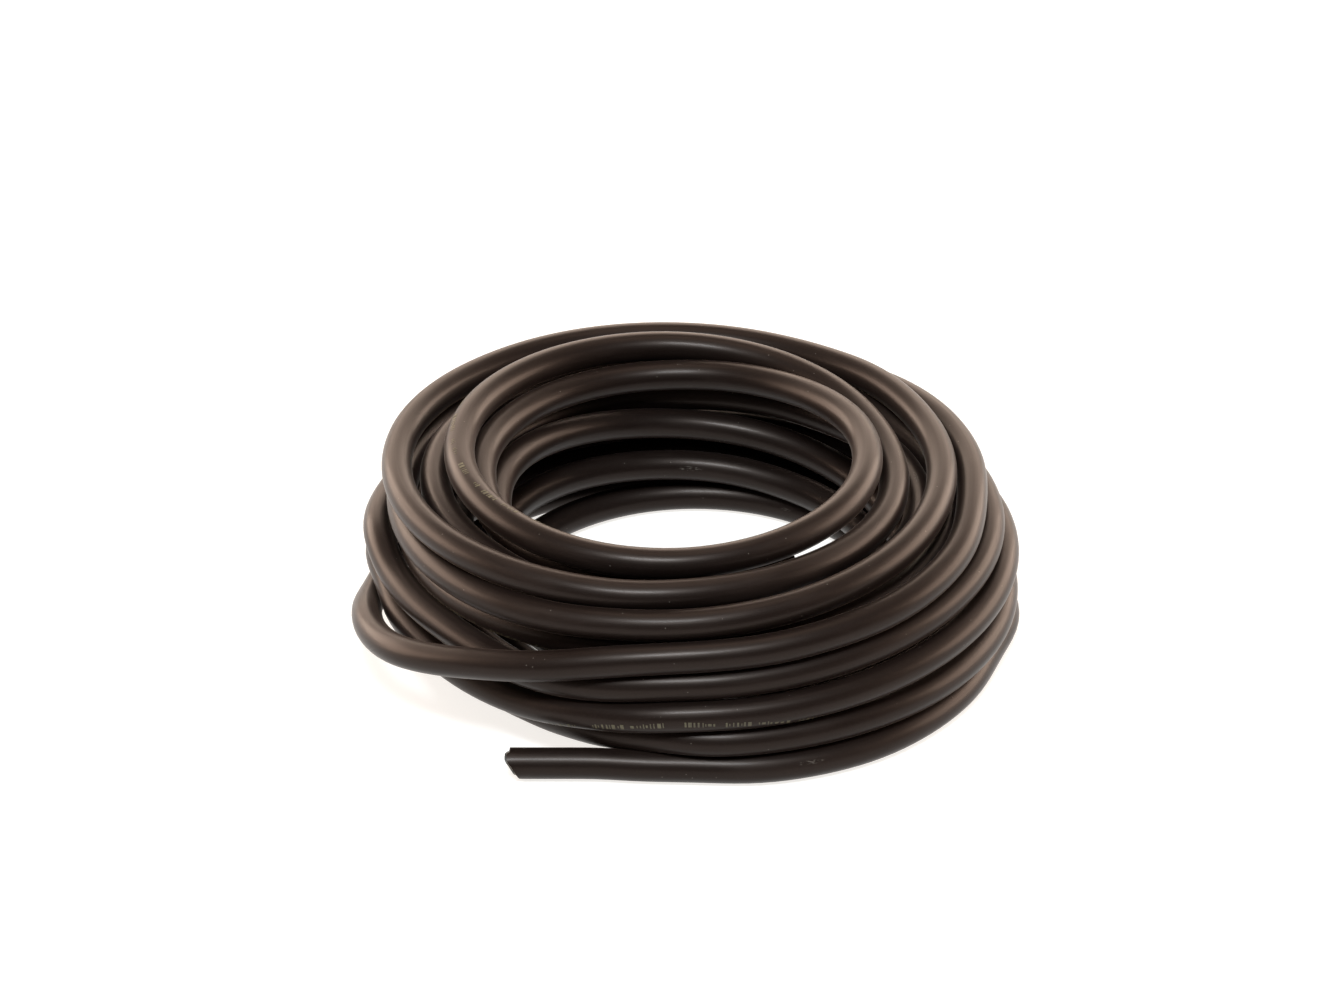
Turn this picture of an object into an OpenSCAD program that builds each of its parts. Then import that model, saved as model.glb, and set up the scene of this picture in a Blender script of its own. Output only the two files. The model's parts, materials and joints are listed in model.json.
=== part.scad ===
// A long rubber hose wound by hand into a free-standing coil, with one cut end
// left lying straight along the floor. Millimetres, +Z up, floor at z = 0.

/* [Hose] */
// Outside diameter of the hose
hose_od = 16; // [15.5:0.1:16.4]
// Diameter of the water way
bore_d = 9.5; // [9:0.1:10]
// Outside diameter of the liner, which the braid is laid on
liner_od = 12; // [11.6:0.1:12.2]
// Outside diameter of the braid, which the cover is moulded on
braid_od = 13; // [12.8:0.1:13.4]

/* [Coil] */
// Radius of the middle of the inmost turns of the lower stack
inner_turn_r = 105; // [103:1:107]
// Radius of the middle of the outmost turns of the lower stack
outer_turn_r = 160; // [159:1:162]
// Radius of the middle of the turns that are gathered on the top
top_turn_r = 106; // [104:1:108]

/* [Free end] */
// Length of the straight stretch at the cut end
straight_len = 33; // [28:1:37]

/* [Hidden] */
$fn = 96;

hose_r = hose_od / 2;

// Where the middle of each stack of turns stands, seen from above
lower_centre = [4, -1];
upper_centre = [-6, 5];
top_centre = [-15, 2];

// Middle of each turn on the outside of a stack, as [radius, height]
lower_turns_outside = [
    [outer_turn_r - 11, hose_r],
    [outer_turn_r, hose_r + 15],
    [outer_turn_r + 1, hose_r + 30],
    [outer_turn_r - 4, hose_r + 45],
    [outer_turn_r - 17, hose_r + 54],
    [inner_turn_r + 24, hose_r + 55],
    [inner_turn_r + 9, hose_r + 52],
    [inner_turn_r, hose_r + 41],
    [inner_turn_r, hose_r + 27],
    [inner_turn_r - 1, hose_r + 13],
    [inner_turn_r + 3, hose_r],
];
upper_turns_outside = [
    [151, 72],
    [143, 85],
    [128, 88],
    [117, 76],
    [132, 69],
];
top_turns_outside = [
    [top_turn_r, 96],
    [top_turn_r - 6, 82],
    [top_turn_r + 9, 85],
];

// The free end: a straight stretch along -X that rests on the floor
end_y = -155;
end_tip = [-93, end_y, hose_r];
end_root = end_tip + [straight_len, 0, 0];

// Route of the free end's run, from the straight stretch to the lower stack
tail_points = [
    end_root,
    end_root + [8, 0, 0],
    end_root + [16, 0, 0],
    [-24, -156, hose_r],
    [5, -158, hose_r],
    [35, -158, hose_r],
    [66, -150, hose_r],
    [95, -135, hose_r],
    [122, -110, hose_r],
    [141, -82, hose_r],
    [154, -48, hose_r],
];

// Route of the one turn that leaves the stack at its back, bulges from its side and climbs across its front
loose_points = [
    [-62, 122, 38],
    [-112, 90, 34],
    [-142, 57, 28],
    [-154, 30, 24],
    [-162, -2, 26],
    [-166, -28, 27],
    [-168, -52, 30],
    [-162, -76, 34],
    [-149, -100, 40],
    [-128, -118, 46],
    [-107, -131, 52],
    [-80, -143, 58],
    [-46, -150, 64],
    [4, -152, 69],
    [54, -142, 72],
    [104, -112, 75],
    [136, -64, 78],
    [146, -22, 79],
    [142, 18, 78],
];
tube_sides = 12;
tube_steps = 2;

// Catmull-Rom blend of four neighbouring points
function blend(a, b, c, d, t) =
    0.5 * (2 * b + (c - a) * t + (2 * a - 5 * b + 4 * c - d) * t * t
           + (3 * b - a - 3 * c + d) * t * t * t);

// A point beyond either end continues the route in a straight line
function route_at(p, i) =
    i < 0 ? 2 * p[0] - p[1] :
    i >= len(p) ? 2 * p[len(p) - 1] - p[len(p) - 2] : p[i];

// The route with extra points between each two of its own
function fine_route(p) = concat(
    [for (i = [0 : len(p) - 2], k = [0 : tube_steps - 1])
        blend(route_at(p, i - 1), p[i], p[i + 1], route_at(p, i + 2), k / tube_steps)],
    [p[len(p) - 1]]);

function unit(v) = v / norm(v);

// Direction of travel at a point of a route
function heading(p, i) =
    unit(p[min(i + 1, len(p) - 1)] - p[max(i - 1, 0)]);

// One ring of points around a route, square to its direction of travel
function ring_at(p, i) =
    let (t = heading(p, i),
         side = unit(cross(t, [0, 0, 1])),
         up = cross(side, t))
    [for (k = [0 : tube_sides - 1])
        let (a = 360 * k / tube_sides)
        p[i] + hose_r * (cos(a) * side + sin(a) * up)];

// A closed tube of the hose's diameter along a route
module swept_tube(points) {
    route = fine_route(points);
    rings = len(route);
    n = tube_sides;
    skin = [for (i = [0 : rings - 1]) each ring_at(route, i)];
    walls = [for (i = [0 : rings - 2], k = [0 : n - 1])
        let (a = i * n + k, b = i * n + (k + 1) % n)
        [a, b, b + n, a + n]];
    first_cap = [[for (k = [n - 1 : -1 : 0]) k]];
    last_cap = [[for (k = [0 : n - 1]) (rings - 1) * n + k]];
    polyhedron(points = skin, faces = concat(walls, first_cap, last_cap), convexity = 6);
}

// A closed ring with one ridge for each turn that shows on its outside
module turn_stack(turns) {
    rotate_extrude() {
        polygon(turns);
        for (turn = turns) translate(turn) circle(r = hose_r);
    }
}

// One layer of the hose's wall along the straight stretch
module end_layer(outer_d, inner_d) {
    translate(end_tip) rotate([0, 90, 0]) difference() {
        cylinder(d = outer_d, h = straight_len);
        translate([0, 0, -1]) cylinder(d = inner_d, h = straight_len + 2);
    }
}

// The stack of turns that stands on the floor
module lower_turns() {
    color([0.10, 0.09, 0.08])
        translate([lower_centre.x, lower_centre.y, 0]) turn_stack(lower_turns_outside);
}

// The turns that lean in on top of the lower stack
module upper_turns() {
    color([0.13, 0.11, 0.10])
        translate([upper_centre.x, upper_centre.y, 0]) turn_stack(upper_turns_outside);
}

// The last turns, gathered a little to one side around the eye of the coil
module top_turns() {
    color([0.16, 0.14, 0.12])
        translate([top_centre.x, top_centre.y, 0]) turn_stack(top_turns_outside);
}

// The turn that bulges from the side and climbs across the front
module loose_turn() {
    color([0.19, 0.17, 0.15]) swept_tube(loose_points);
}

// The free end's run along the floor
module tail_run() {
    color([0.12, 0.10, 0.09]) swept_tube(tail_points);
}

// Satin black outer cover at the cut end
module end_cover() {
    color([0.12, 0.10, 0.09]) end_layer(hose_od, braid_od);
}

// Braided textile reinforcement at the cut end
module end_braid() {
    color([0.55, 0.52, 0.46]) end_layer(braid_od, liner_od);
}

// Smooth inner liner at the cut end, around the water way
module end_liner() {
    color([0.07, 0.07, 0.07]) end_layer(liner_od, bore_d);
}

lower_turns();
upper_turns();
top_turns();
loose_turn();
tail_run();
end_cover();
end_braid();
end_liner();
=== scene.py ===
"""A long black rubber hose, wound by hand into a coil with an open eye, one cut end lying along the floor.

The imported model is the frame. Every piece is in metres, +Z up, with the floor at z = 0. The hose is one tube
that follows one route: the free end, the lower turns of the coil, the loose turn across its front, the last
turns. It is drawn as the three layers of its wall and the line that is printed on it.
"""

import json
import math
import random

import bpy
import numpy as np
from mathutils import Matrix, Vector
from mathutils.kdtree import KDTree


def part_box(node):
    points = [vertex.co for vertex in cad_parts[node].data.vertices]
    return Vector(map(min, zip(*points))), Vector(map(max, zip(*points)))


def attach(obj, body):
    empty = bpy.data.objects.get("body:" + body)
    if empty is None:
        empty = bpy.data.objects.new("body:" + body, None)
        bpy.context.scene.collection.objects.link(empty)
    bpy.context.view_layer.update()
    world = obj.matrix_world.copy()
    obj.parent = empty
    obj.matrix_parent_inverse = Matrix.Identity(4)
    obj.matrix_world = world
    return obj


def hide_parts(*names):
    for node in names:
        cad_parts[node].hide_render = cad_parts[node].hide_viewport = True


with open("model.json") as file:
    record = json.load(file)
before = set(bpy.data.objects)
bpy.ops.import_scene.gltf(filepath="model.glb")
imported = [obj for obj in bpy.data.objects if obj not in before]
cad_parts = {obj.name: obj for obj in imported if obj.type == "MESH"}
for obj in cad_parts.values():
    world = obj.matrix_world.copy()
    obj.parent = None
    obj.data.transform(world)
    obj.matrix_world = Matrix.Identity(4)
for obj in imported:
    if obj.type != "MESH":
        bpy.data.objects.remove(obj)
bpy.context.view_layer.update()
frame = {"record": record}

MM = 0.001

# The hose's layers, from the frame
end_low, end_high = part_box("end_cover")
braid_low, braid_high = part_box("end_braid")
liner_low, liner_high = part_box("end_liner")
bore = next(m for m in frame["record"]["mounts"] if m["name"] == "water_way")
HOSE_R = (end_high.z - end_low.z) / 2
BRAID_R = (braid_high.z - braid_low.z) / 2
LINER_R = (liner_high.z - liner_low.z) / 2
BORE_R = bore["dims"]["r_mm"] * MM
HOSE_D = 2 * HOSE_R


# ---------------------------------------------------------------- camera

CAMERA_DISTANCE = 3.0
CAMERA_ELEVATION = math.radians(32)
CAMERA_AIM = Vector((-0.0135, 0.032, 0.051))
CAMERA_LENS = 153.4
CAMERA_SENSOR = 36


def add_camera():
    """The camera looks down on the coil from the front, from far away through a long lens."""
    data = bpy.data.cameras.new("camera")
    data.sensor_width = CAMERA_SENSOR
    data.lens = CAMERA_LENS
    data.clip_end = 50
    camera = bpy.data.objects.new("camera", data)
    bpy.context.scene.collection.objects.link(camera)
    outward = Vector((0, -math.cos(CAMERA_ELEVATION), math.sin(CAMERA_ELEVATION)))
    camera.location = CAMERA_DISTANCE * outward
    camera.rotation_euler = (CAMERA_AIM - camera.location).to_track_quat("-Z", "Y").to_euler()
    bpy.context.scene.camera = camera


add_camera()


# ---------------------------------------------------------------- the hose's route

# The free end along the floor, in millimetres: straight from the cut, then in under the coil
FREE_END = [
    (-93, -155, 8), (-60, -155, 8), (-52, -155, 8), (-44, -155, 8), (-24, -156, 8), (5, -158, 8),
    (35, -158, 8), (66, -150, 8), (95, -135, 8), (122, -110, 8), (141, -82, 8), (154, -48, 8),
]

# The turn that stands out on the left and climbs across the front, in millimetres
LOOSE_TURN = [
    (-62, 122, 38), (-112, 90, 34), (-142, 57, 28), (-154, 30, 24), (-162, -2, 26),
    (-166, -28, 27), (-168, -52, 30), (-162, -76, 34),
    (-149, -100, 40), (-128, -118, 46), (-107, -131, 52), (-80, -143, 58), (-46, -150, 64),
    (4, -152, 69), (54, -142, 72), (104, -112, 75), (136, -64, 78),
]

# Each turn of the coil: how far out the hose's middle is, and how high, in millimetres, at the coil's
# right, back, left and front. A turn may end early.
TURNS_BEFORE = [
    [(164, 8), (130, 8), (150, 8), (158, 23)],
    [(163, 23), (147, 24), (163, 38), (159, 39)],
    [(163, 46), (151, 41), (164, 54), (153, 54)],
    [(155, 63), (142, 57), (147, 59), (136, 65)],
    [(133, 67), (130, 74), (134, 82), (115, 75)],
    [(120, 68), (122, 66), (122, 61), (117, 50)],
    [(112, 38), (109, 52), (102, 71), (108, 46)],
    [(105, 19), (107, 28), (105, 38), (106, 22)],
    [(109, 8), (110, 8), (105, 8), (112, 14)],
    [(124, 12), (130, 20), (134, 34), (134, 26)],
    [(146, 34), (136, 38)],
]
TURNS_AFTER = [
    [(146, 79), (158, 69), (151, 70), (142, 82)],
    [(130, 86), (154, 80), (154, 86), (127, 90)],
    [(105, 85), (121, 94), (121, 98), (106, 96)],
    [(91, 97), (106, 85), (110, 87), (106, 79)],
]

# The other cut end lies out of sight under the front of the topmost turn, in millimetres
FAR_END = [(14, -96, 79), (32, -87, 80), (50, -77, 80)]

# The first three turns don't go round from left to front, but cut across the corner, through these points
CUT_CORNERS = {
    0: [(-142, -32, 8), (-123, -64, 10), (-84, -110, 14), (-40, -145, 20)],
    1: [(-150, -50, 31), (-122, -94, 27), (-85, -127, 27), (-44, -150, 34)],
    2: [(-155, -38, 50), (-133, -78, 48), (-86, -127, 46), (-43, -148, 50)],
}

QUARTER_POINTS = 6
CURVE_POINTS = 6
RING_STEP = 0.4 * HOSE_D
SIDES = ("right", "back", "left", "front")
SIGN = {"right": 1, "back": 1, "left": -1, "front": -1}

# How the wound hose settles. In each round, an overlap closes by about this share, a point goes back home by
# this share of the way, and the bends are evened out and then let back, which keeps them from shrinking.
SETTLE_ROUNDS = 120
PUSH_APART = 0.45
PULL_HOME = 0.01
EVEN_OUT = (0.15, -0.155)
# Points nearer than this along the hose are neighbours on one bend, and don't push each other
NEIGHBOURS = 4 * HOSE_D


def quarter_keys(turns):
    """The turns' keys in the order that the hose meets them: side, signed distance, height, cut corner."""
    keys = []
    for number, turn in enumerate(turns):
        for side, (out, height) in zip(SIDES, turn):
            corner = CUT_CORNERS.get(number) if side == "left" and turns is TURNS_BEFORE else None
            keys.append((side, SIGN[side] * out, height, corner))
    return keys


def middle_of(keys, index, sides):
    """Half way between two opposite sides of the coil, by the key of each that is nearest to this one."""
    total = 0
    for side in sides:
        near = min((abs(i - index), i) for i, key in enumerate(keys) if key[0] == side)[1]
        total += keys[near][1]
    return total / 2


def wound(turns):
    """Points along the turns: a quarter of an ellipse from each key to the next, rising smoothly."""
    keys = quarter_keys(turns)
    stops = []
    for index, (side, out, height, _) in enumerate(keys):
        if side in ("right", "left"):
            stops.append((out, middle_of(keys, index, ("back", "front")), height))
        else:
            stops.append((middle_of(keys, index, ("right", "left")), out, height))
    points = []
    for index in range(len(stops) - 1):
        here, there = stops[index], stops[index + 1]
        if keys[index][3]:
            points += [here, *keys[index][3]]
            continue
        before = stops[max(index - 1, 0)]
        after = stops[min(index + 2, len(stops) - 1)]
        climb_here = (there[2] - before[2]) / 2
        climb_there = (after[2] - here[2]) / 2
        for step in range(QUARTER_POINTS):
            t = step / QUARTER_POINTS
            c, s = math.cos(t * math.pi / 2), math.sin(t * math.pi / 2)
            if keys[index][0] in ("right", "left"):
                x, y = there[0] + (here[0] - there[0]) * c, here[1] + (there[1] - here[1]) * s
            else:
                x, y = here[0] + (there[0] - here[0]) * s, there[1] + (here[1] - there[1]) * c
            z = (here[2] * (2 * t**3 - 3 * t**2 + 1) + climb_here * (t**3 - 2 * t**2 + t)
                 + there[2] * (3 * t**2 - 2 * t**3) + climb_there * (t**3 - t**2))
            points.append((x, y, z))
    points.append(stops[-1])
    return points


def smooth_curve(points):
    """A centripetal Catmull-Rom curve through the points, so that uneven spacing makes no kinks."""
    p = np.array(points, float)
    p = np.vstack([2 * p[0] - p[1], p, 2 * p[-1] - p[-2]])
    knots = np.concatenate([[0], np.cumsum(np.linalg.norm(np.diff(p, axis=0), axis=1) ** 0.5)])
    curve = []
    for i in range(1, len(p) - 2):
        t0, t1, t2, t3 = knots[i - 1 : i + 3]
        p0, p1, p2, p3 = p[i - 1 : i + 3]
        for t in np.linspace(t1, t2, CURVE_POINTS, endpoint=False):
            a1 = ((t1 - t) * p0 + (t - t0) * p1) / (t1 - t0)
            a2 = ((t2 - t) * p1 + (t - t1) * p2) / (t2 - t1)
            a3 = ((t3 - t) * p2 + (t - t2) * p3) / (t3 - t2)
            b1 = ((t2 - t) * a1 + (t - t0) * a2) / (t2 - t0)
            b2 = ((t3 - t) * a2 + (t - t1) * a3) / (t3 - t1)
            curve.append(((t2 - t) * b1 + (t - t1) * b2) / (t2 - t1))
    curve.append(p[-2])
    return np.array(curve)


def even_steps(points, step):
    """The same line with its points a step apart."""
    along = np.concatenate([[0], np.cumsum(np.linalg.norm(np.diff(points, axis=0), axis=1))])
    wanted = np.linspace(0, along[-1], round(along[-1] / step) + 1)
    return np.stack([np.interp(wanted, along, points[:, axis]) for axis in range(3)], axis=1)


def touching(route, skip):
    """Pairs of points on different stretches of the hose that are less than a diameter apart."""
    tree = KDTree(len(route))
    for i, point in enumerate(route):
        tree.insert(point, i)
    tree.balance()
    pairs = [(i, j) for i, point in enumerate(route)
             for _, j, _ in tree.find_range(point, HOSE_D) if j > i + skip]
    return np.array(pairs).reshape(-1, 2)


def settle(route):
    """Lets the wound hose find room: stretches that overlap push each other apart, each point is drawn back
    to where it was laid, the hose's stiffness evens its bends, and the floor holds it up."""
    home = route.copy()
    skip = round(NEIGHBOURS / RING_STEP)
    for _ in range(SETTLE_ROUNDS):
        pairs = touching(route, skip)
        first, second = pairs[:, 0], pairs[:, 1]
        apart = route[first] - route[second]
        distance = np.linalg.norm(apart, axis=1, keepdims=True) + 1e-9
        push = PUSH_APART * apart * (HOSE_D - distance) / 2 / distance
        moved, count = np.zeros_like(route), np.zeros((len(route), 1))
        np.add.at(moved, first, push)
        np.add.at(moved, second, -push)
        np.add.at(count, first, 1)
        np.add.at(count, second, 1)
        route = route + moved / np.maximum(1, PUSH_APART * count)
        route += PULL_HOME * (home - route)
        for share in EVEN_OUT:
            route[1:-1] += share * (route[:-2] + route[2:] - 2 * route[1:-1])
        route[:, 2] = np.maximum(route[:, 2], HOSE_R)
    return route


laid = np.array(FREE_END + wound(TURNS_BEFORE) + LOOSE_TURN + wound(TURNS_AFTER) + FAR_END, float) * MM
route = even_steps(settle(even_steps(smooth_curve(laid), RING_STEP)), RING_STEP)


# ---------------------------------------------------------------- the hose's pieces

# Points in each ring of a wall. A ring stands on every so many points of the route: on all of them on the
# outside, which is seen, and on fewer inside.
AROUND = 32
EVERY_OUTSIDE = 1
EVERY_INSIDE = 2
EVERY_HIDDEN = 4

# A crooked cut is spread over this much of the hose, so that the rings near it don't run into each other
CUT_REACH = 24 * MM
# The knife went in twice. Heights on the cut face run from -1 to 1 along a line that leans towards the middle
# of the coil: the first stroke ran back above LEAN_FROM, over LEAN_RAMP, and the second below CHOP_FROM.
FACE_LINE = (0.85, -0.53)
LEAN = 1.6 * MM
LEAN_FROM = 0.62
LEAN_RAMP = 0.12
CHOP = 6.4 * MM
CHOP_FROM = 0.22
CHOP_CURVE = 1.1
NICKS = (0.12 * MM, 0.08 * MM)
FAR_LEAN = 0.8 * MM

# The inner layers stand out past the cut cover by this much
BRAID_PROUD = 0.4 * MM
LINER_PROUD = 1.0 * MM


def carried_frames(line):
    """Two directions square to the line at each of its points, carried along it without twisting."""
    travel = np.gradient(line, axis=0)
    travel /= np.linalg.norm(travel, axis=1, keepdims=True)
    up = np.array([0.0, 0.0, 1.0])
    ups = []
    for direction in travel:
        up = up - direction * (up @ direction)
        up /= np.linalg.norm(up)
        ups.append(up)
    ups = np.array(ups)
    return travel, ups, np.cross(travel, ups)


travel, ups, sides = carried_frames(route)
along = np.concatenate([[0], np.cumsum(np.linalg.norm(np.diff(route, axis=0), axis=1))])
hose_length = float(along[-1])


def near_cut(up, side):
    """How far back the knife cut the hose, at a point that far up and to the side of its middle."""
    height = (FACE_LINE[0] * up + FACE_LINE[1] * side) / HOSE_R
    angle = math.atan2(side, up)
    lean = LEAN * max(0.0, min(1.0, (height - LEAN_FROM) / LEAN_RAMP))
    chop = CHOP * max(0.0, (CHOP_FROM - height) / (1 + CHOP_FROM)) ** CHOP_CURVE
    nicks = NICKS[0] * math.sin(5 * angle + 1) + NICKS[1] * math.sin(11 * angle)
    return lean + chop + nicks


def far_cut(up):
    """The same at the other end, which is cut nearly square."""
    return FAR_LEAN * (up / HOSE_R + 1) / 2


def wall_rings(radius, every, proud=0.0):
    """Rings of points of that radius about the route, on every so many of its points, with both ends cut.
    Each point also has its place on the hose laid out straight: how far along, and where across it."""
    picks = list(range(0, len(route) - 1, every)) + [len(route) - 1]
    angles = np.arange(AROUND) * 2 * math.pi / AROUND
    points, straight = [], []
    for i in picks:
        for angle in angles:
            c, s = math.cos(angle), math.sin(angle)
            across = radius * c, radius * s
            start = max(0.0, 1 - along[i] / CUT_REACH) * (near_cut(*across) - proud)
            end = max(0.0, 1 - (hose_length - along[i]) / CUT_REACH) * (far_cut(radius * c) - proud)
            shift = start - end
            points.append(route[i] + radius * (c * ups[i] + s * sides[i]) + shift * travel[i])
            straight.append((along[i] + shift, *across))
    return points, straight, len(picks)


def new_piece(name, points, straight, faces):
    """A mesh object whose points also know their place on the hose laid out straight."""
    mesh = bpy.data.meshes.new(name)
    mesh.from_pydata(points, [], faces)
    mesh.attributes.new("straight", "FLOAT_VECTOR", "POINT").data.foreach_set(
        "vector", np.array(straight, np.float32).ravel())
    piece = bpy.data.objects.new(name, mesh)
    bpy.context.scene.collection.objects.link(piece)
    return piece


def hose_layer(name, outer, inner, every_outer, every_inner, proud=0.0):
    """One layer of the hose's wall: its outside, its inside, and the cut face at each end. It has a ring of
    points on every so many points of the route."""
    out_points, out_straight, out_count = wall_rings(outer, every_outer, proud)
    in_points, in_straight, in_count = wall_rings(inner, every_inner, proud)
    base = len(out_points)
    faces = []
    for ring in range(out_count - 1):
        for k in range(AROUND):
            a, b = ring * AROUND + k, ring * AROUND + (k + 1) % AROUND
            faces.append((a, b, b + AROUND, a + AROUND))
    for ring in range(in_count - 1):
        for k in range(AROUND):
            a, b = base + ring * AROUND + k, base + ring * AROUND + (k + 1) % AROUND
            faces.append((a, a + AROUND, b + AROUND, b))
    last_out, last_in = (out_count - 1) * AROUND, base + (in_count - 1) * AROUND
    for k in range(AROUND):
        n = (k + 1) % AROUND
        faces.append((k, base + k, base + n, n))
        faces.append((last_out + k, last_out + n, last_in + n, last_in + k))
    piece = new_piece(name, out_points + in_points, out_straight + in_straight, faces)
    piece.data.shade_smooth()
    rims = [range(start, start + AROUND) for start in (0, last_out, base, last_in)]
    for edge in piece.data.edges:
        first, second = edge.vertices
        edge.use_edge_sharp = any(first in rim and second in rim for rim in rims)
    return piece


cover = hose_layer("hose_cover", HOSE_R, BRAID_R, EVERY_OUTSIDE, EVERY_INSIDE)
braid = hose_layer("hose_braid", BRAID_R, LINER_R, EVERY_HIDDEN, EVERY_HIDDEN, BRAID_PROUD)
liner = hose_layer("hose_liner", LINER_R, BORE_R, EVERY_HIDDEN, EVERY_HIDDEN, LINER_PROUD)

# Where the printed line lies on the hose: metres from the cut end, and degrees from its top towards the
# outside of the coil. It mostly lies underneath, and comes into sight where the hose was twisted.
LINE_TWIST = [
    (0, 200), (1.8, 190), (1.92, 165), (1.97, 105), (2.01, 88), (2.05, 105), (2.1, 165), (2.4, 180),
    (3.4, 180), (3.74, 138), (3.81, 122), (3.88, 138), (4.1, 180),
    (11.35, 180), (11.5, 110), (11.64, 60), (11.7, 25), (11.76, 4), (11.79, -20), (11.85, -110), (12.0, -170),
    (12.6, -180),
]
LINE_MARGIN = 30 * MM
MARK_HEIGHT = 2.8 * MM
MARK_THICKNESS = 0.07 * MM
# What each mark and each group of marks is drawn from: millimetres, and shares of the full height
MARKS_IN_GROUP = (3, 9)
MARK_WIDTHS = (0.5, 0.5, 0.9, 1.7)
MARK_HEIGHTS = (0.55, 1.0, 1.0)
MARK_GAPS = (0.8, 1.1, 1.4)
GROUP_GAPS = (2.5, 4, 9)

# A mark is a thin slab that bends with the hose: six points under it, six over them, and the faces between
MARK_EDGE = (0, 1, 2, 5, 4, 3)
MARK_FACES = [(a, b, b + 6, a + 6) for a, b in zip(MARK_EDGE, MARK_EDGE[1:] + MARK_EDGE[:1])]
MARK_FACES += [(0, 3, 4, 1), (1, 4, 5, 2), (6, 7, 10, 9), (7, 8, 11, 10)]


def place_on_hose(distance, angle, radius):
    """A point at that distance along the hose, and that far round it from its top and out from its middle.
    The floor flattens the ink under the hose."""
    i = min(int(np.searchsorted(along, distance, side="right")) - 1, len(route) - 2)
    t = (distance - along[i]) / (along[i + 1] - along[i])
    middle = (1 - t) * route[i] + t * route[i + 1]
    direction = (1 - t) * travel[i] + t * travel[i + 1]
    up = np.array([0.0, 0.0, 1.0]) - direction * direction[2]
    up /= np.linalg.norm(up)
    side = np.cross(direction, up)
    point = middle + radius * (math.cos(angle) * up + math.sin(angle) * side)
    point[2] = max(point[2], 0)
    return point


def printed_line():
    """Plain short marks in groups, printed in one line along the whole hose."""
    chance = random.Random(11)
    points, straight, faces = [], [], []
    distance = LINE_MARGIN
    while distance < hose_length - LINE_MARGIN:
        for _ in range(chance.randint(*MARKS_IN_GROUP)):
            width = chance.choice(MARK_WIDTHS) * MM
            tall = chance.choice(MARK_HEIGHTS) * MARK_HEIGHT
            middle = math.radians(float(np.interp(distance, *zip(*LINE_TWIST))))
            base = len(points)
            for radius in (HOSE_R - 2 * MARK_THICKNESS, HOSE_R + MARK_THICKNESS):
                for place in (distance, distance + width):
                    for share in (-0.5, 0, 0.5):
                        angle = middle + share * tall / HOSE_R
                        points.append(place_on_hose(place, angle, radius))
                        straight.append((place, radius * math.cos(angle), radius * math.sin(angle)))
            faces += [tuple(base + k for k in quad) for quad in MARK_FACES]
            distance += width + chance.choice(MARK_GAPS) * MM
        distance += chance.choice(GROUP_GAPS) * MM
    return new_piece("printed_line", points, straight, faces)


line = printed_line()

for piece in (cover, braid, liner, line):
    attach(piece, "root")
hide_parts("lower_turns", "upper_turns", "top_turns", "loose_turn", "tail_run", "end_cover")
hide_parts("end_braid")
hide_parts("end_liner")


# ---------------------------------------------------------------- materials

# Every material is laid out on the straight hose: metres along it, and across it both ways

def add(tree, kind, inputs, **settings):
    """A node with its settings and inputs. An input is a value or another node's output."""
    made = tree.nodes.new(kind)
    for name, value in settings.items():
        setattr(made, name, value)
    for name, value in inputs.items():
        if isinstance(value, bpy.types.NodeSocket):
            tree.links.new(value, made.inputs[name])
        else:
            made.inputs[name].default_value = value
    return made


def new_material(name):
    """A material, its node tree, its shader, and the place on the straight hose."""
    material = bpy.data.materials.new(name)
    material.use_nodes = True
    tree = material.node_tree
    place = add(tree, "ShaderNodeAttribute", {}, attribute_name="straight").outputs["Vector"]
    return material, tree, tree.nodes["Principled BSDF"], place


def stretched(tree, place, lengthwise, across):
    """The place on the straight hose, scaled along it and across it."""
    return add(tree, "ShaderNodeVectorMath", {0: place, 1: (lengthwise, across, across)},
               operation="MULTIPLY").outputs[0]


def noise(tree, place, lengthwise, across, detail=2.0, roughness=0.5):
    """Smooth noise with that many features to the metre, along the hose and across it."""
    return add(tree, "ShaderNodeTexNoise", {
        "Vector": stretched(tree, place, lengthwise, across), "Scale": 1.0, "Detail": detail,
        "Roughness": roughness}).outputs[0]


def fit(tree, value, low, high, to_low=0.0, to_high=1.0):
    """Takes a value from one range to another, with soft ends."""
    return add(tree, "ShaderNodeMapRange", {
        0: value, 1: low, 2: high, 3: to_low, 4: to_high}, interpolation_type="SMOOTHSTEP").outputs[0]


def calculate(tree, operation, first, second):
    """One sum on two values."""
    return add(tree, "ShaderNodeMath", {0: first, 1: second}, operation=operation).outputs[0]


def blend(tree, share, first, second):
    """A colour between two others. The node's sockets for colours are 6 and 7, and 2 on its way out."""
    return add(tree, "ShaderNodeMix", {0: share, 6: first, 7: second}, data_type="RGBA").outputs[2]


def specks(tree, place, lengthwise, across, size, rarity):
    """Scattered spots, in one cell out of many, as a share from 0 to 1."""
    cells = add(tree, "ShaderNodeTexVoronoi", {
        "Vector": stretched(tree, place, lengthwise, across), "Scale": 1.0})
    spot = fit(tree, cells.outputs[0], size * 0.6, size, 1.0, 0.0)
    parts = add(tree, "ShaderNodeSeparateColor", {0: cells.outputs[1]})
    chosen = calculate(tree, "GREATER_THAN", parts.outputs[0], rarity)
    return calculate(tree, "MULTIPLY", spot, chosen)


def bump(tree, height, distance, normal=None):
    """Relief of that depth in metres, on top of any other."""
    inputs = {"Strength": 1.0, "Distance": distance, "Height": height}
    if normal:
        inputs["Normal"] = normal
    return add(tree, "ShaderNodeBump", inputs).outputs[0]


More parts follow.
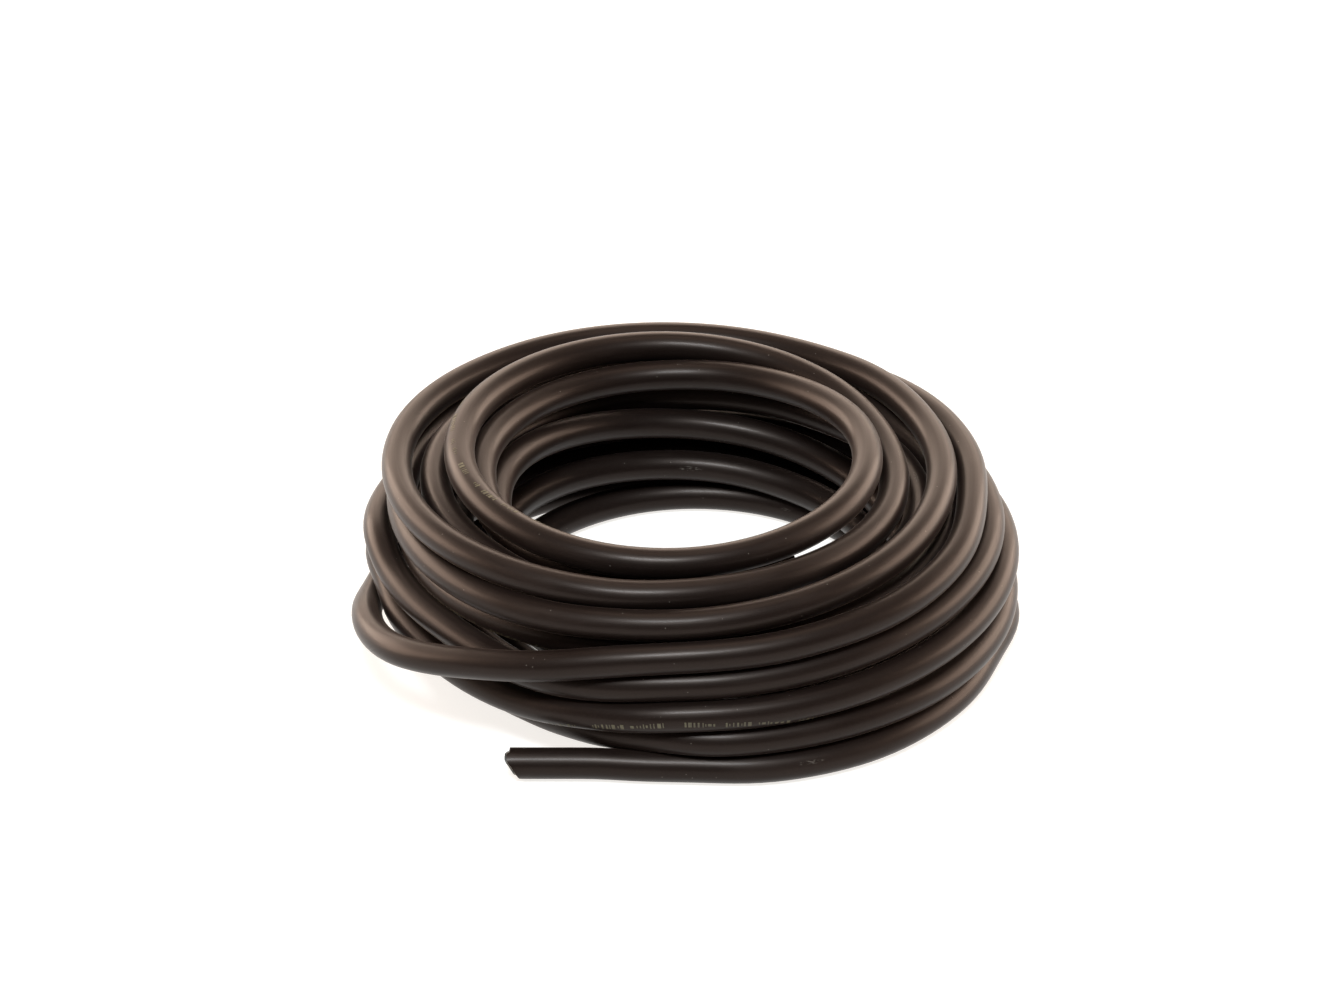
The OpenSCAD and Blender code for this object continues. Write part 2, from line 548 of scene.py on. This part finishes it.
def cover_rubber():
    """Warm black satin rubber, with lines from the die, a dull bloom in patches, dust and a few scuffs."""
    material, tree, shader, place = new_material("cover_rubber")
    bloom = fit(tree, noise(tree, place, 14, 90, 4.0, 0.6), 0.45, 0.72)
    die_lines = noise(tree, place, 5, 900, 2.0)
    grain = noise(tree, place, 1500, 1500, 3.0, 0.6)
    waves = noise(tree, place, 45, 120, 1.0)
    dust = specks(tree, place, 330, 330, 0.13, 0.94)
    rubs = specks(tree, place, 26, 150, 0.22, 0.93)
    rub_streaks = fit(tree, noise(tree, place, 500, 1800, 2.0), 0.5, 0.62)
    scuffs = calculate(tree, "MULTIPLY", rubs, rub_streaks)
    colour = blend(tree, bloom, (0.0060, 0.0034, 0.0027, 1), (0.0110, 0.0070, 0.0057, 1))
    colour = blend(tree, fit(tree, grain, 0.35, 0.7, 0.0, 0.35), colour, (0.014, 0.0094, 0.0078, 1))
    colour = blend(tree, calculate(tree, "MULTIPLY", scuffs, 0.35), colour, (0.16, 0.14, 0.12, 1))
    colour = blend(tree, calculate(tree, "MULTIPLY", dust, 0.28), colour, (0.24, 0.21, 0.18, 1))
    dull = calculate(tree, "ADD", fit(tree, die_lines, 0.3, 0.7, 0.0, 0.05),
                     fit(tree, bloom, 0.0, 1.0, 0.37, 0.44))
    dull = calculate(tree, "ADD", dull, calculate(tree, "MULTIPLY", scuffs, 0.2))
    tree.links.new(colour, shader.inputs["Base Color"])
    tree.links.new(dull, shader.inputs["Roughness"])
    shader.inputs["Specular IOR Level"].default_value = 0.2
    shader.inputs["Specular Tint"].default_value = (1, 0.80, 0.70, 1)
    shader.inputs["Sheen Weight"].default_value = 0.08
    shader.inputs["Sheen Roughness"].default_value = 0.25
    shader.inputs["Sheen Tint"].default_value = (1, 0.84, 0.74, 1)
    shader.inputs["Coat Weight"].default_value = 0.16
    shader.inputs["Coat Roughness"].default_value = 0.18
    shader.inputs["Coat IOR"].default_value = 1.22
    relief = bump(tree, waves, 0.00010)
    relief = bump(tree, die_lines, 0.00002, relief)
    relief = bump(tree, grain, 0.000008, relief)
    tree.links.new(relief, shader.inputs["Normal"])
    return material


def braid_yarn():
    """Off-white yarn in two crossing spirals, smeared black by the rubber around it."""
    material, tree, shader, place = new_material("braid_yarn")
    parts = add(tree, "ShaderNodeSeparateXYZ", {0: place})
    turn = calculate(tree, "ARCTAN2", parts.outputs[1], parts.outputs[2])
    strands = []
    for way in (1.0, -1.0):
        phase = calculate(tree, "ADD", calculate(tree, "MULTIPLY", turn, 12.0),
                          calculate(tree, "MULTIPLY", parts.outputs[0], way * 1900.0))
        strands.append(fit(tree, calculate(tree, "SINE", phase, 0.0), -1.0, 1.0))
    weave = calculate(tree, "MAXIMUM", *strands)
    fibres = noise(tree, place, 2500, 2500, 3.0)
    smear = fit(tree, noise(tree, place, 120, 300, 3.0), 0.42, 0.6)
    colour = blend(tree, weave, (0.10, 0.09, 0.075, 1), (0.42, 0.39, 0.33, 1))
    colour = blend(tree, fit(tree, fibres, 0.3, 0.7, 0.0, 0.4), colour, (0.25, 0.23, 0.19, 1))
    colour = blend(tree, calculate(tree, "MULTIPLY", smear, 0.9), colour, (0.02, 0.018, 0.016, 1))
    tree.links.new(colour, shader.inputs["Base Color"])
    shader.inputs["Roughness"].default_value = 0.85
    relief = bump(tree, weave, 0.00020)
    tree.links.new(bump(tree, fibres, 0.00003, relief), shader.inputs["Normal"])
    return material


def liner_rubber():
    """Smooth dull black rubber, with faint lines along the water way and a chalky film in patches."""
    material, tree, shader, place = new_material("liner_rubber")
    film = fit(tree, noise(tree, place, 60, 160, 4.0), 0.45, 0.75)
    lines = noise(tree, place, 8, 1200, 2.0)
    grain = noise(tree, place, 1800, 1800, 2.0)
    colour = blend(tree, film, (0.014, 0.012, 0.011, 1), (0.034, 0.031, 0.028, 1))
    tree.links.new(colour, shader.inputs["Base Color"])
    tree.links.new(fit(tree, film, 0.0, 1.0, 0.46, 0.62), shader.inputs["Roughness"])
    relief = bump(tree, lines, 0.00003)
    tree.links.new(bump(tree, grain, 0.00001, relief), shader.inputs["Normal"])
    return material


def lay_line_ink():
    """Thin olive yellow ink, worn down to a brown stain in places."""
    material, tree, shader, place = new_material("lay_line_ink")
    worn = fit(tree, noise(tree, place, 260, 700, 3.0), 0.40, 0.62)
    patchy = fit(tree, noise(tree, place, 9, 9, 2.0), 0.35, 0.65)
    wear = calculate(tree, "MAXIMUM", calculate(tree, "MULTIPLY", worn, 0.5),
                     calculate(tree, "MULTIPLY", patchy, 0.3))
    colour = blend(tree, wear, (0.080, 0.068, 0.034, 1), (0.018, 0.013, 0.008, 1))
    tree.links.new(colour, shader.inputs["Base Color"])
    shader.inputs["Roughness"].default_value = 0.6
    tree.links.new(bump(tree, worn, 0.00002), shader.inputs["Normal"])
    return material


cover.data.materials.append(cover_rubber())
braid.data.materials.append(braid_yarn())
liner.data.materials.append(liner_rubber())
line.data.materials.append(lay_line_ink())


# ---------------------------------------------------------------- floor and light

FLOOR_REACH = 8
PAPER = (0.32, 0.32, 0.32, 1)
PAPER_GLOW = (1, 0.97, 0.93, 1)
GLOW_STRENGTH = 0.82
WARM = (1, 0.80, 0.66)
COOL = (0.84, 0.94, 1)
COIL_TOP = (0, 0, 0.1)
COIL_MIDDLE = (0, 0, 0.05)
ROOM_COLOUR = (1, 0.86, 0.74, 1)
ROOM_BRIGHTNESS = 0.10

def add_floor():
    """White paper, lit evenly from below as on a light table."""
    mesh = bpy.data.meshes.new("floor")
    corners = [(x * FLOOR_REACH, y * FLOOR_REACH, 0) for x, y in ((-1, -1), (1, -1), (1, 1), (-1, 1))]
    mesh.from_pydata(corners, [], [(0, 1, 2, 3)])
    floor = bpy.data.objects.new("floor", mesh)
    bpy.context.scene.collection.objects.link(floor)
    material = bpy.data.materials.new("floor_paper")
    material.use_nodes = True
    shader = material.node_tree.nodes["Principled BSDF"]
    shader.inputs["Base Color"].default_value = PAPER
    shader.inputs["Roughness"].default_value = 0.9
    shader.inputs["Emission Color"].default_value = PAPER_GLOW
    shader.inputs["Emission Strength"].default_value = GLOW_STRENGTH
    mesh.materials.append(material)


def add_softbox(name, place, aim, width, height, radiance, colour):
    """A rectangular light of even brightness, which the camera doesn't see."""
    data = bpy.data.lights.new(name, "AREA")
    data.shape = "RECTANGLE"
    data.size = width
    data.size_y = height
    data.energy = radiance * math.pi * width * height
    data.color = colour
    light = bpy.data.objects.new(name, data)
    bpy.context.scene.collection.objects.link(light)
    light.location = place
    light.rotation_euler = (Vector(aim) - Vector(place)).to_track_quat("-Z", "Y").to_euler()
    light.visible_camera = False


def add_world():
    """A dim, warm room around the lights."""
    world = bpy.data.worlds.new("studio")
    bpy.context.scene.world = world
    world.use_nodes = True
    background = world.node_tree.nodes["Background"]
    background.inputs["Color"].default_value = ROOM_COLOUR
    background.inputs["Strength"].default_value = ROOM_BRIGHTNESS


add_floor()
add_world()
add_softbox("left", (-1.7, 0.75, 0.6), COIL_TOP, width=2.2, height=1.0, radiance=9.6, colour=WARM)
add_softbox("right", (1.7, 0.75, 0.6), COIL_TOP, width=2.2, height=1.0, radiance=8.8, colour=WARM)
add_softbox("behind", (0, 2.4, 0.9), COIL_TOP, width=3.0, height=1.4, radiance=4.0, colour=WARM)
add_softbox("above", (-0.15, -1.15, 1.9), COIL_MIDDLE, width=0.8, height=0.42, radiance=56.0, colour=COOL)
add_softbox("overhead", (0, 0.5, 2.2), COIL_MIDDLE, width=1.2, height=1.2, radiance=2.0, colour=WARM)
bpy.context.scene.view_settings.view_transform = "Standard"
